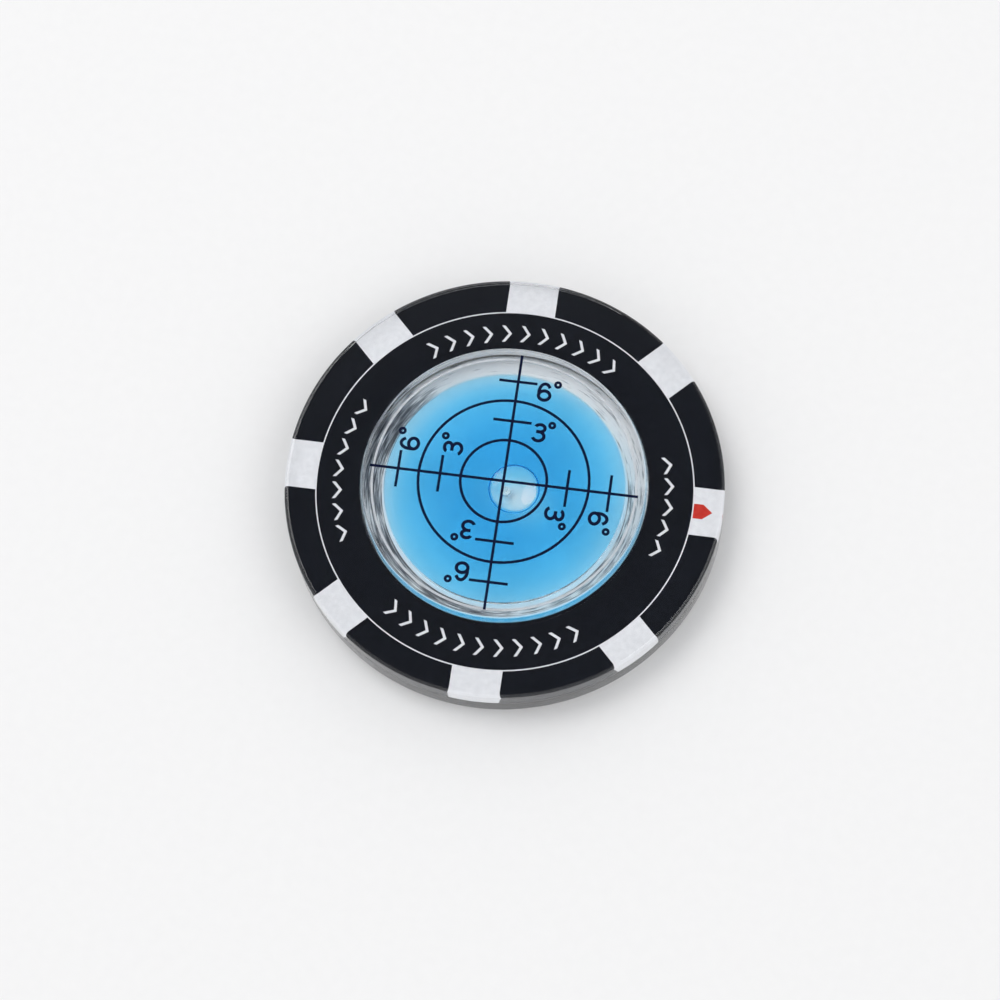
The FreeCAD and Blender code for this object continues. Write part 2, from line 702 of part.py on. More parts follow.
def write_pieces(pieces):
    """One STEP file for each sub-part, named after it."""
    os.makedirs("parts", exist_ok=True)
    for piece in pieces:
        piece.Shape.exportStep(os.path.join("parts", piece.Label + ".step"))
        print("%-18s %d solids, %.4f mm3" % (piece.Label, len(piece.Shape.Solids), piece.Shape.Volume))


ALL_PIECES = make_pieces()
doc.recompute()
check_document(ALL_PIECES)
write_pieces(ALL_PIECES)
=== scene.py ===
import json
import math

import bmesh
import bpy
from mathutils import Matrix, Vector


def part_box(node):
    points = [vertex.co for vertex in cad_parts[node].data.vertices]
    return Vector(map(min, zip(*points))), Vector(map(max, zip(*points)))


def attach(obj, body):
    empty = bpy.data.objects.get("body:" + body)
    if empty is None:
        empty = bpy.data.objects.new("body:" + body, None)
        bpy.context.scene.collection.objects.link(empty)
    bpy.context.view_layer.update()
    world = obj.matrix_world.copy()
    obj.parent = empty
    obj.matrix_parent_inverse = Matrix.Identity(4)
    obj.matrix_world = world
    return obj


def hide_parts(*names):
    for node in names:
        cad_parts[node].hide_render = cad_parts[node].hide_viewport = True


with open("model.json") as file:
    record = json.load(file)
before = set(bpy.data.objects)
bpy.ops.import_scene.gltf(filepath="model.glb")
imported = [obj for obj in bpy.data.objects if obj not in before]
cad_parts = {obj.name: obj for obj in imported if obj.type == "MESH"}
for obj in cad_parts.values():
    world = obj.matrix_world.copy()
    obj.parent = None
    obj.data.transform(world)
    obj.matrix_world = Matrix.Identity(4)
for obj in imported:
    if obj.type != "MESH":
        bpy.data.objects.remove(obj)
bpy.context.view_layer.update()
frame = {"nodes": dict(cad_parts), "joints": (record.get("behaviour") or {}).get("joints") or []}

mm = 0.001
fullTurn = 2 * math.pi

# Heights and radii shared by several pieces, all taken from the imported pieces.
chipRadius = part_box("base_disc")[1].x
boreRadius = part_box("vial_bond_ring")[1].x
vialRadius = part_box("vial_cup")[1].x
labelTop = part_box("label_film")[1].z
coverBottom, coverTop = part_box("top_cover")[0].z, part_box("top_cover")[1].z
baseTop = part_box("base_disc")[1].z
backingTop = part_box("vial_backing")[1].z
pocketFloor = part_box("vial_backing")[0].z
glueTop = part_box("vial_bond_ring")[1].z
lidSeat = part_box("vial_cup")[1].z
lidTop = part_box("vial_lid")[1].z
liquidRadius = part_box("level_liquid")[1].x
tiltJoint = next(joint for joint in frame["joints"] if joint["name"] == "bubble_tilt")
domeCentre = Vector(tiltJoint["pos_m"])
skin = 0.004 * mm  # how far a bonded face stays clear of the face it is bonded to


# meshes

def meshObject(name, points, faces, faceSlots, materials):
    mesh = bpy.data.meshes.new(name)
    mesh.from_pydata(points, [], faces)
    mesh.polygons.foreach_set("material_index", faceSlots)
    mesh.polygons.foreach_set("use_smooth", [True] * len(faces))
    piece = bpy.data.objects.new(name, mesh)
    bpy.context.scene.collection.objects.link(piece)
    for material in materials:
        mesh.materials.append(material)
    return piece


def bend(before, corner, after):  # how far an outline turns at a corner, in degrees
    first = Vector((corner[0] - before[0], corner[1] - before[1]))
    second = Vector((after[0] - corner[0], after[1] - corner[1]))
    if first.length == 0 or second.length == 0:
        return 0
    return math.degrees(first.angle(second))


def lathe(name, outline, materials, segments=288, sharpest=24):
    # outline: (radius, height, material slot of the strip to the next corner), anticlockwise, closed
    count = len(outline)
    points, rings = [], []
    for radius, height, slot in outline:
        if radius == 0:
            rings.append([len(points)] * segments)
            points.append((0, 0, height))
        else:
            rings.append(range(len(points), len(points) + segments))
            points += [(radius * math.cos(fullTurn * turn / segments),
                        radius * math.sin(fullTurn * turn / segments), height) for turn in range(segments)]
    faces, slots = [], []
    for corner in range(count):
        first, second = rings[corner], rings[(corner + 1) % count]
        if first[0] == first[1] and second[0] == second[1]:
            continue  # a stretch along the axis has no surface
        for turn in range(segments):
            after = (turn + 1) % segments
            loop = [first[turn], first[after], second[after], second[turn]]
            faces.append(tuple(dict.fromkeys(loop)))
            slots.append(outline[corner][2])
    piece = meshObject(name, points, faces, slots, materials)
    sharpRings = set()
    for corner in range(count):
        if bend(outline[corner - 1], outline[corner], outline[(corner + 1) % count]) > sharpest:
            sharpRings.add(corner)
    ringOf = {}
    for corner, ring in enumerate(rings):
        for point in ring:
            ringOf[point] = corner
    for edge in piece.data.edges:
        start, end = (ringOf[point] for point in edge.vertices)
        edge.use_edge_sharp = start == end and start in sharpRings
    return piece


def arc(centre, radius, start, end, steps, slot):  # corners along an arc, angles in degrees from outward
    angles = [math.radians(start + (end - start) * step / steps) for step in range(steps + 1)]
    return [(centre[0] + radius * math.cos(angle), centre[1] + radius * math.sin(angle), slot)
            for angle in angles]


# node helpers

def addNode(tree, kind, values=None, **settings):
    node = tree.nodes.new(kind)
    for setting, value in settings.items():
        setattr(node, setting, value)
    for socket, value in (values or {}).items():
        node.inputs[socket].default_value = value
    return node


def join(tree, source, sink):
    tree.links.new(source, sink)


# geometry node trees

def newGeometryTree(name, inputs):
    tree = bpy.data.node_groups.new(name, "GeometryNodeTree")
    for socket, kind in inputs:
        tree.interface.new_socket(socket, in_out="INPUT", socket_type="NodeSocket" + kind)
    tree.interface.new_socket("Result", in_out="OUTPUT", socket_type="NodeSocketGeometry")
    return tree, addNode(tree, "NodeGroupInput"), addNode(tree, "NodeGroupOutput")


def mathNode(tree, operation, first, second):
    node = addNode(tree, "ShaderNodeMath", operation=operation)
    for socket, value in zip(node.inputs, (first, second)):
        if isinstance(value, (int, float)):
            socket.default_value = value
        else:
            join(tree, value, socket)
    return node.outputs[0]


def finishTree(tree, copies, ink, output):  # every tree ends in real geometry with its material on
    real = addNode(tree, "GeometryNodeRealizeInstances")
    paint = addNode(tree, "GeometryNodeSetMaterial")
    join(tree, copies, real.inputs["Geometry"])
    join(tree, real.outputs["Geometry"], paint.inputs["Geometry"])
    join(tree, ink, paint.inputs["Material"])
    join(tree, paint.outputs["Geometry"], output.inputs["Result"])


def makeRowTree():  # copies of one mark, turned about the upright axis by an even step
    tree, source, output = newGeometryTree("markRow", [
        ("Mark", "Geometry"), ("Count", "Int"), ("Step", "Float"), ("Bearing", "Float"), ("Ink", "Material")])
    points = addNode(tree, "GeometryNodePoints")
    join(tree, source.outputs["Count"], points.inputs["Count"])
    number = addNode(tree, "GeometryNodeInputIndex").outputs["Index"]
    middle = mathNode(tree, "DIVIDE", mathNode(tree, "SUBTRACT", source.outputs["Count"], 1.0), 2.0)
    lean = mathNode(tree, "MULTIPLY", mathNode(tree, "SUBTRACT", number, middle), source.outputs["Step"])
    angle = addNode(tree, "ShaderNodeCombineXYZ")
    join(tree, mathNode(tree, "ADD", lean, source.outputs["Bearing"]), angle.inputs["Z"])
    turn = addNode(tree, "FunctionNodeEulerToRotation")
    join(tree, angle.outputs["Vector"], turn.inputs["Euler"])
    copies = addNode(tree, "GeometryNodeInstanceOnPoints")
    join(tree, points.outputs["Points"], copies.inputs["Points"])
    join(tree, source.outputs["Mark"], copies.inputs["Instance"])
    join(tree, turn.outputs["Rotation"], copies.inputs["Rotation"])
    finishTree(tree, copies.outputs["Instances"], source.outputs["Ink"], output)
    return tree


def makeSpeckTree():  # small round bubbles, scattered over the mesh that they are given
    tree, source, output = newGeometryTree("trappedBubbles", [
        ("Bed", "Geometry"), ("Density", "Float"), ("Smallest", "Float"), ("Largest", "Float"),
        ("Seed", "Int"), ("Ink", "Material")])
    scatter = addNode(tree, "GeometryNodeDistributePointsOnFaces", distribute_method="RANDOM")
    join(tree, source.outputs["Bed"], scatter.inputs["Mesh"])
    join(tree, source.outputs["Density"], scatter.inputs["Density"])
    join(tree, source.outputs["Seed"], scatter.inputs["Seed"])
    ball = addNode(tree, "GeometryNodeMeshIcoSphere", {"Radius": 1.0, "Subdivisions": 2})
    size = addNode(tree, "FunctionNodeRandomValue", data_type="FLOAT")
    minimum, maximum = (socket for socket in size.inputs if socket.name in ("Min", "Max") and socket.enabled)
    join(tree, source.outputs["Smallest"], minimum)
    join(tree, source.outputs["Largest"], maximum)
    join(tree, source.outputs["Seed"], size.inputs["Seed"])
    copies = addNode(tree, "GeometryNodeInstanceOnPoints")
    join(tree, scatter.outputs["Points"], copies.inputs["Points"])
    join(tree, ball.outputs["Mesh"], copies.inputs["Instance"])
    join(tree, next(socket for socket in size.outputs if socket.enabled), copies.inputs["Scale"])
    finishTree(tree, copies.outputs["Instances"], source.outputs["Ink"], output)
    return tree


def grow(piece, tree, settings):  # runs the tree on the piece once and keeps the plain mesh that comes out
    modifier = piece.modifiers.new(tree.name, "NODES")
    modifier.node_group = tree
    for item in tree.interface.items_tree:
        if item.in_out == "INPUT" and item.name in settings:
            modifier[item.identifier] = settings[item.name]
    bpy.context.view_layer.update()
    evaluated = piece.evaluated_get(bpy.context.evaluated_depsgraph_get())
    grown = bpy.data.meshes.new_from_object(evaluated)
    piece.modifiers.remove(modifier)
    piece.data = grown


# materials

def newTree(name):
    material = bpy.data.materials.new(name)
    material.use_nodes = True
    material.node_tree.nodes.clear()
    output = material.node_tree.nodes.new("ShaderNodeOutputMaterial")
    return material, material.node_tree, output


def ramp(tree, source, stops):  # a colour ramp: (place, colour) stops
    node = addNode(tree, "ShaderNodeValToRGB")
    while len(node.color_ramp.elements) < len(stops):
        node.color_ramp.elements.new(0.5)
    for element, (place, colour) in zip(node.color_ramp.elements, stops):
        element.position = place
        element.color = (*colour, 1)
    join(tree, source, node.inputs["Fac"])
    return node.outputs["Color"]


def spread(tree, source, low, high, fromLow=0.0, fromHigh=1.0):
    node = addNode(tree, "ShaderNodeMapRange", {"From Min": fromLow, "From Max": fromHigh,
                                                "To Min": low, "To Max": high})
    join(tree, source, node.inputs["Value"])
    return node.outputs["Result"]


def grain(tree, scale, detail=4.0, stretch=(1, 1, 1)):  # noise on the object's own coordinates
    place = addNode(tree, "ShaderNodeTexCoord")
    mapping = addNode(tree, "ShaderNodeMapping", {"Scale": stretch})
    noise = addNode(tree, "ShaderNodeTexNoise", {"Scale": scale, "Detail": detail})
    join(tree, place.outputs["Object"], mapping.inputs["Vector"])
    join(tree, mapping.outputs["Vector"], noise.inputs["Vector"])
    return noise.outputs["Fac"]


def aroundAxis(tree):  # (direction from the upright axis, height, distance from the axis) of a point
    place = addNode(tree, "ShaderNodeTexCoord")
    parts = addNode(tree, "ShaderNodeSeparateXYZ")
    join(tree, place.outputs["Object"], parts.inputs["Vector"])
    flat = addNode(tree, "ShaderNodeVectorMath", {1: (1, 1, 0)}, operation="MULTIPLY")
    join(tree, place.outputs["Object"], flat.inputs[0])
    direction = addNode(tree, "ShaderNodeVectorMath", operation="NORMALIZE")
    distance = addNode(tree, "ShaderNodeVectorMath", operation="LENGTH")
    join(tree, flat.outputs["Vector"], direction.inputs[0])
    join(tree, flat.outputs["Vector"], distance.inputs[0])
    return direction.outputs["Vector"], parts.outputs["Z"], distance.outputs["Value"]


def ringNoise(tree, direction, turnScale, across, acrossScale, detail):  # noise on a ring, with no seam
    turn = addNode(tree, "ShaderNodeVectorMath", {1: (turnScale, turnScale, 0)}, operation="MULTIPLY")
    join(tree, direction, turn.inputs[0])
    reach = addNode(tree, "ShaderNodeMath", {1: acrossScale}, operation="MULTIPLY")
    join(tree, across, reach.inputs[0])
    lift = addNode(tree, "ShaderNodeCombineXYZ")
    join(tree, reach.outputs[0], lift.inputs["Z"])
    vector = addNode(tree, "ShaderNodeVectorMath", operation="ADD")
    join(tree, turn.outputs["Vector"], vector.inputs[0])
    join(tree, lift.outputs["Vector"], vector.inputs[1])
    noise = addNode(tree, "ShaderNodeTexNoise", {"Scale": 1.0, "Detail": detail, "Roughness": 0.6})
    join(tree, vector.outputs["Vector"], noise.inputs["Vector"])
    return noise.outputs["Fac"]


def addBump(tree, source, shader, strength, distance):
    bump = addNode(tree, "ShaderNodeBump", {"Strength": strength, "Distance": distance})
    join(tree, source, bump.inputs["Height"])
    join(tree, bump.outputs["Normal"], shader.inputs["Normal"])


def finishClear(tree, shader, output):  # light goes straight through clear pieces, so what they cover is lit
    ray = addNode(tree, "ShaderNodeLightPath")
    straight = addNode(tree, "ShaderNodeBsdfTransparent", {"Color": (1, 1, 1, 1)})
    choice = addNode(tree, "ShaderNodeMixShader")
    join(tree, ray.outputs["Is Shadow Ray"], choice.inputs["Fac"])
    join(tree, shader.outputs["BSDF"], choice.inputs[1])
    join(tree, straight.outputs["BSDF"], choice.inputs[2])
    join(tree, choice.outputs["Shader"], output.inputs["Surface"])


polish = {"ior": 1.49, "tint": (0.985, 0.992, 0.996, 1), "smoothest": 0.0, "roughest": 0.015,
          "scratchScale": 900, "scratchStretch": (1, 0.06, 1), "scratchesFrom": 0.55, "scratchesTo": 0.85,
          "bumpStrength": 0.01, "bumpDepth": 0.003 * mm}


def makePolishedAcrylic():
    material, tree, output = newTree("polishedAcrylic")
    shader = addNode(tree, "ShaderNodeBsdfPrincipled", {
        "Base Color": polish["tint"], "IOR": polish["ior"], "Transmission Weight": 1.0})
    scuffs = grain(tree, polish["scratchScale"], stretch=polish["scratchStretch"])
    join(tree, spread(tree, scuffs, polish["smoothest"], polish["roughest"],
                      polish["scratchesFrom"], polish["scratchesTo"]), shader.inputs["Roughness"])
    addBump(tree, scuffs, shader, polish["bumpStrength"], polish["bumpDepth"])
    finishClear(tree, shader, output)
    return material


cutEdges = {  # marks run across each edge: turnScale along the ring, heightScale up the wall
    "turnedRim": {"ior": 1.49, "tint": (0.97, 0.975, 0.98, 1), "clear": 0.92, "smoothest": 0.04,
                  "roughest": 0.20, "turnScale": 90.0, "heightScale": 1500.0, "bumpStrength": 0.30,
                  "bumpDepth": 0.012 * mm},
    "laserCutBore": {"ior": 1.49, "tint": (0.96, 0.97, 0.98, 1), "clear": 1.0, "smoothest": 0.0,
                     "roughest": 0.12, "turnScale": 36.0, "heightScale": 350.0, "bumpStrength": 1.0,
                     "bumpDepth": 0.09 * mm},
}

cutMarks = {"detail": 5.0, "from": 0.35, "to": 0.7}


def makeCutEdge(name):
    values = cutEdges[name]
    material, tree, output = newTree(name)
    shader = addNode(tree, "ShaderNodeBsdfPrincipled", {
        "Base Color": values["tint"], "IOR": values["ior"], "Transmission Weight": values["clear"]})
    direction, height, _ = aroundAxis(tree)
    marks = ringNoise(tree, direction, values["turnScale"], height, values["heightScale"], cutMarks["detail"])
    join(tree, spread(tree, marks, values["smoothest"], values["roughest"], cutMarks["from"], cutMarks["to"]),
         shader.inputs["Roughness"])
    addBump(tree, marks, shader, values["bumpStrength"], values["bumpDepth"])
    finishClear(tree, shader, output)
    return material


def makeWettedFace():  # a face in optical contact with its neighbour: nothing bends or reflects there
    material, tree, output = newTree("wettedFace")
    shader = addNode(tree, "ShaderNodeBsdfTransparent", {"Color": (1, 1, 1, 1)})
    join(tree, shader.outputs["BSDF"], output.inputs["Surface"])
    return material


adhesive = {"milk": (0.82, 0.83, 0.84), "shade": (0.70, 0.71, 0.73), "clear": 0.45, "roughness": 0.3,
            "ior": 1.47, "grainScale": 1400, "bumpStrength": 0.2, "bumpDepth": 0.01 * mm}


# The pale milky edge is partly the adhesive's own haze and partly a painted highlight: it gives the light
# line along the seams at the label's edge.
def makeAdhesiveEdgeWithPaintedHighlight():
    material, tree, output = newTree("adhesiveEdgeWithPaintedHighlight")
    shader = addNode(tree, "ShaderNodeBsdfPrincipled", {
        "Roughness": adhesive["roughness"], "IOR": adhesive["ior"], "Transmission Weight": adhesive["clear"]})
    cloud = grain(tree, adhesive["grainScale"])
    join(tree, ramp(tree, cloud, [(0.35, adhesive["shade"]), (0.65, adhesive["milk"])]),
         shader.inputs["Base Color"])
    addBump(tree, cloud, shader, adhesive["bumpStrength"], adhesive["bumpDepth"])
    join(tree, shader.outputs["BSDF"], output.inputs["Surface"])
    return material


smear = {"dark": (0.05, 0.055, 0.065), "grey": (0.30, 0.31, 0.33), "pale": (0.94, 0.94, 0.93),
         "darkTo": 0.38, "greyAt": 0.45, "paleFrom": 0.53, "roughness": 0.28, "sheen": 0.8,
         "patchTurn": 1.6, "patchReach": 420.0, "patchDetail": 3.0,
         "streakTurn": 5.0, "streakReach": 7000.0, "streakDetail": 5.0, "streakShare": 0.55,
         "paintedLightBearing": 60, "paintedLightShare": 0.05, "bumpStrength": 0.4, "bumpDepth": 0.01 * mm}


def makeSmearedAdhesiveWithPaintedLight():  # adhesive pressed out under the vial, in silvery streaks that run round it; the near-black and pale streaks are partly the adhesive's own tone and partly painted reflection, and one side is painted lighter as painted light
    material, tree, output = newTree("smearedAdhesiveWithPaintedLight")
    shader = addNode(tree, "ShaderNodeBsdfPrincipled", {
        "Roughness": smear["roughness"], "IOR": adhesive["ior"], "Specular IOR Level": smear["sheen"]})
    direction, _, distance = aroundAxis(tree)
    patches = ringNoise(tree, direction, smear["patchTurn"], distance, smear["patchReach"],
                        smear["patchDetail"])
    streaks = ringNoise(tree, direction, smear["streakTurn"], distance, smear["streakReach"],
                        smear["streakDetail"])
    both = addNode(tree, "ShaderNodeMix", {"Factor": smear["streakShare"]}, data_type="FLOAT")
    join(tree, patches, both.inputs["A"])
    join(tree, streaks, both.inputs["B"])
    # painted light: a cosine of the bearing paints the ring lighter on one side and darker on the opposite
    # side
    bearing = math.radians(smear["paintedLightBearing"])
    side = addNode(tree, "ShaderNodeVectorMath", {1: (math.cos(bearing), math.sin(bearing), 0)},
                   operation="DOT_PRODUCT")
    join(tree, direction, side.inputs[0])
    paintedSideLight = addNode(tree, "ShaderNodeMath", {1: smear["paintedLightShare"]}, operation="MULTIPLY_ADD")
    join(tree, side.outputs["Value"], paintedSideLight.inputs[0])
    join(tree, both.outputs["Result"], paintedSideLight.inputs[2])
    # the ramp from near-black through grey to pale is partly the adhesive's own tone and partly painted
    # reflection of the band
    shades = [(smear["darkTo"], smear["dark"]), (smear["greyAt"], smear["grey"]),
              (smear["paleFrom"], smear["pale"])]
    join(tree, ramp(tree, paintedSideLight.outputs[0], shades), shader.inputs["Base Color"])
    addBump(tree, streaks, shader, smear["bumpStrength"], smear["bumpDepth"])
    join(tree, shader.outputs["BSDF"], output.inputs["Surface"])
    return material


plugLook = {"pale": (0.90, 0.92, 0.94), "shade": (0.78, 0.81, 0.85), "roughness": 0.35, "ior": 1.5,
            "grainScale": 2500, "bumpStrength": 0.1, "bumpDepth": 0.004 * mm}


def makePlugPlastic():  # pale polythene
    material, tree, output = newTree("plugPlastic")
    shader = addNode(tree, "ShaderNodeBsdfPrincipled", {
        "Roughness": plugLook["roughness"], "IOR": plugLook["ior"]})
    cloud = grain(tree, plugLook["grainScale"])
    join(tree, ramp(tree, cloud, [(0.3, plugLook["shade"]), (0.7, plugLook["pale"])]),
         shader.inputs["Base Color"])
    addBump(tree, cloud, shader, plugLook["bumpStrength"], plugLook["bumpDepth"])
    join(tree, shader.outputs["BSDF"], output.inputs["Surface"])
    return material


prints = {
    "blackPrint": {"dark": (0.0055, 0.0070, 0.0100), "light": (0.0085, 0.0100, 0.0145), "grainScale": 2600,
                   "specks": (0.35, 0.36, 0.38), "speckScale": 420, "speckSize": 0.045, "gloss": 0.0},
    "whitePrint": {"dark": (0.71, 0.72, 0.75), "light": (0.79, 0.80, 0.83), "grainScale": 1900,
                   "specks": (0.55, 0.56, 0.58), "speckScale": 500, "speckSize": 0.03, "gloss": 0.0},
    "redPrint": {"dark": (0.50, 0.032, 0.022), "light": (0.60, 0.050, 0.036), "grainScale": 2400,
                 "specks": (0.8, 0.3, 0.3), "speckScale": 500, "speckSize": 0.02, "gloss": 0.0},
    "navyPrint": {"dark": (0.0015, 0.0035, 0.0220), "light": (0.0030, 0.0060, 0.0340), "grainScale": 2600,
                  "specks": (0.02, 0.03, 0.08), "speckScale": 900, "speckSize": 0.05, "gloss": 0.08},
    "whiteBacking": {"dark": (0.90, 0.91, 0.92), "light": (0.95, 0.955, 0.96), "grainScale": 1500,
                     "specks": (0.7, 0.72, 0.75), "speckScale": 500, "speckSize": 0.03, "gloss": 0.0},
}

inkSkin = {"mottleDetail": 6.0, "speckShare": 0.10, "smoothest": 0.35, "roughest": 0.6, "bumpStrength": 0.15,
           "bumpDepth": 0.004 * mm}


def makePrint(name):  # ink: a fine mottle, small specks of dust and a satin skin
    values = prints[name]
    material, tree, output = newTree(name)
    shader = addNode(tree, "ShaderNodeBsdfPrincipled", {"Specular IOR Level": values["gloss"]})
    mottle = grain(tree, values["grainScale"], detail=inkSkin["mottleDetail"])
    ink = ramp(tree, mottle, [(0.3, values["dark"]), (0.7, values["light"])])
    place = addNode(tree, "ShaderNodeTexCoord")
    dots = addNode(tree, "ShaderNodeTexVoronoi", {"Scale": values["speckScale"], "Randomness": 1.0})
    join(tree, place.outputs["Object"], dots.inputs["Vector"])
    nearDot = addNode(tree, "ShaderNodeMath", {1: values["speckSize"]}, operation="LESS_THAN")
    join(tree, dots.outputs["Distance"], nearDot.inputs[0])
    few = addNode(tree, "ShaderNodeSeparateColor")
    join(tree, dots.outputs["Color"], few.inputs["Color"])
    chosen = addNode(tree, "ShaderNodeMath", {1: inkSkin["speckShare"]}, operation="LESS_THAN")
    join(tree, few.outputs["Red"], chosen.inputs[0])
    speck = addNode(tree, "ShaderNodeMath", operation="MULTIPLY")
    join(tree, nearDot.outputs[0], speck.inputs[0])
    join(tree, chosen.outputs[0], speck.inputs[1])
    mix = addNode(tree, "ShaderNodeMix", data_type="RGBA")
    mix.inputs["B"].default_value = (*values["specks"], 1)
    join(tree, speck.outputs[0], mix.inputs["Factor"])
    join(tree, ink, mix.inputs["A"])
    join(tree, mix.outputs["Result"], shader.inputs["Base Color"])
    join(tree, spread(tree, mottle, inkSkin["smoothest"], inkSkin["roughest"]), shader.inputs["Roughness"])
    addBump(tree, mottle, shader, inkSkin["bumpStrength"], inkSkin["bumpDepth"])
    join(tree, shader.outputs["BSDF"], output.inputs["Surface"])
    return material


liquidLook = {"ior": 0.918, "tint": (0.985, 0.995, 1.0, 1), "dye": (0.14, 0.775, 0.955, 1), "density": 960.0,
              "swirlScale": 160, "bumpStrength": 0.05, "bumpDepth": 0.01 * mm}


def makeBlueLiquid():
    material, tree, output = newTree("blueLiquid")
    shader = addNode(tree, "ShaderNodeBsdfGlass", {
        "Color": liquidLook["tint"], "IOR": liquidLook["ior"], "Roughness": 0.0})
    swirl = grain(tree, liquidLook["swirlScale"], detail=2.0)
    addBump(tree, swirl, shader, liquidLook["bumpStrength"], liquidLook["bumpDepth"])
    dye = addNode(tree, "ShaderNodeVolumeAbsorption", {
        "Color": liquidLook["dye"], "Density": liquidLook["density"]})
    finishClear(tree, shader, output)
    join(tree, dye.outputs["Volume"], output.inputs["Volume"])
    return material


bubbleLook = {  # clears: 1 takes out the dye where the bubble is, more also thins what is under it
    "clears": (1.56, 1.77, 1.70), "ior": 1 / 1.36, "rippleScale": 300, "bumpStrength": 0.04,
    "bumpDepth": 0.01 * mm}


def makeBubbleAir():  # air in the liquid: it bends light the other way and takes out the dye where it is
    material, tree, output = newTree("bubbleAir")
    shader = addNode(tree, "ShaderNodeBsdfGlass", {"IOR": bubbleLook["ior"], "Roughness": 0.0})
    ripple = grain(tree, bubbleLook["rippleScale"], detail=2.0)
    addBump(tree, ripple, shader, bubbleLook["bumpStrength"], bubbleLook["bumpDepth"])
    undyed = [1 + clears * (1 - part) for clears, part in zip(bubbleLook["clears"], liquidLook["dye"])]
    dye = addNode(tree, "ShaderNodeVolumeAbsorption", {
        "Color": (*undyed, 1), "Density": liquidLook["density"]})
    finishClear(tree, shader, output)
    join(tree, dye.outputs["Volume"], output.inputs["Volume"])
    return material


trappedLook = {"cloudScale": 4000, "roughest": 0.15}


def makeTrappedAir():  # tiny bubbles in the adhesive
    material, tree, output = newTree("trappedAir")
    shader = addNode(tree, "ShaderNodeBsdfGlass", {"IOR": 1 / adhesive["ior"]})
    cloud = grain(tree, trappedLook["cloudScale"])
    join(tree, spread(tree, cloud, 0.0, trappedLook["roughest"]), shader.inputs["Roughness"])
    finishClear(tree, shader, output)
    return material


floorLook = {"shade": (0.850, 0.850, 0.850), "pale": (0.862, 0.862, 0.862), "sheen": 0.1, "fibreScale": 900,
             "smoothest": 0.6, "roughest": 0.8, "bumpStrength": 0.03, "bumpDepth": 0.01 * mm}


def makeFloorPaper():
    material, tree, output = newTree("floorPaper")
    shader = addNode(tree, "ShaderNodeBsdfPrincipled", {"Specular IOR Level": floorLook["sheen"]})
    fibres = grain(tree, floorLook["fibreScale"])
    join(tree, ramp(tree, fibres, [(0.3, floorLook["shade"]), (0.7, floorLook["pale"])]),
         shader.inputs["Base Color"])
    join(tree, spread(tree, fibres, floorLook["smoothest"], floorLook["roughest"]),
         shader.inputs["Roughness"])
    addBump(tree, fibres, shader, floorLook["bumpStrength"], floorLook["bumpDepth"])
    join(tree, shader.outputs["BSDF"], output.inputs["Surface"])
    return material


polished = makePolishedAcrylic()
turnedRim = makeCutEdge("turnedRim")
laserCutBore = makeCutEdge("laserCutBore")
wetted = makeWettedFace()
milkyWithPaintedHighlight = makeAdhesiveEdgeWithPaintedHighlight()
smearedWithPaintedLight = makeSmearedAdhesiveWithPaintedLight()
plugPlastic = makePlugPlastic()
blackPrint = makePrint("blackPrint")
whitePrint = makePrint("whitePrint")
redPrint = makePrint("redPrint")
navyPrint = makePrint("navyPrint")
whiteBacking = makePrint("whiteBacking")
blueLiquid = makeBlueLiquid()
bubbleAir = makeBubbleAir()
trappedAir = makeTrappedAir()
print("materials made")

# Slots of every clear piece: open faces, faces bonded to a neighbour, the turned rim and the cut bore.
clearSlots = [polished, wetted, turnedRim, laserCutBore]
openFace, bondedFace, rimFace, boreFace = 0, 1, 2, 3


def settle(piece, body, slot, *nodes):  # the calls that tie a finished piece to the frame
    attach(piece, body)
    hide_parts(*nodes)


# the laminated chip

baseDisc = {"rounding": 0.30 * mm, "roundSteps": 8}


def makeBaseDisc():
    rounding = baseDisc["rounding"]
    outline = [(0, 0, openFace)]
    outline += arc((chipRadius - rounding, rounding), rounding, -90, 0, baseDisc["roundSteps"], rimFace)
    outline += [(chipRadius, baseTop - skin, bondedFace), (boreRadius, baseTop - skin, boreFace),
                (boreRadius, glueTop, bondedFace), (boreRadius, pocketFloor - skin, bondedFace),
                (0, pocketFloor - skin, bondedFace)]
    piece = lathe("baseDisc", outline, clearSlots)
    settle(piece, "marker", "clear_acrylic", "base_disc")


topCover = {"rounding": 0.40 * mm, "roundSteps": 12, "chamfer": 0.10 * mm}


def makeTopCover():
    rounding, chamfer = topCover["rounding"], topCover["chamfer"]
    outline = [(boreRadius, coverBottom + skin, bondedFace), (chipRadius, coverBottom + skin, rimFace)]
    outline += arc((chipRadius - rounding, coverTop - rounding), rounding, 0, 90,
                   topCover["roundSteps"], openFace)
    outline += [(boreRadius + chamfer, coverTop, openFace), (boreRadius, coverTop - chamfer, boreFace)]
    piece = lathe("topCover", outline, clearSlots)
    settle(piece, "marker", "clear_acrylic", "top_cover")


def makeBondFilm(name, node):
    low, high = (corner.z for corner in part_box(node))
    # the milky rim is partly the adhesive's own haze and partly a painted highlight along the seam
    milkyPaintedHighlightRim, bonded, clearBore = 0, 1, 2
    outline = [(boreRadius, low + skin, bonded), (chipRadius, low + skin, milkyPaintedHighlightRim),
               (chipRadius, high - skin, bonded), (boreRadius, high - skin, clearBore)]
    piece = lathe(name, outline, [milkyWithPaintedHighlight, wetted, polished])
    settle(piece, "marker", "clear_adhesive", node)


# the level vial

vialCup = {"wallGap": 0.03 * mm, "plugGap": 0.01 * mm}


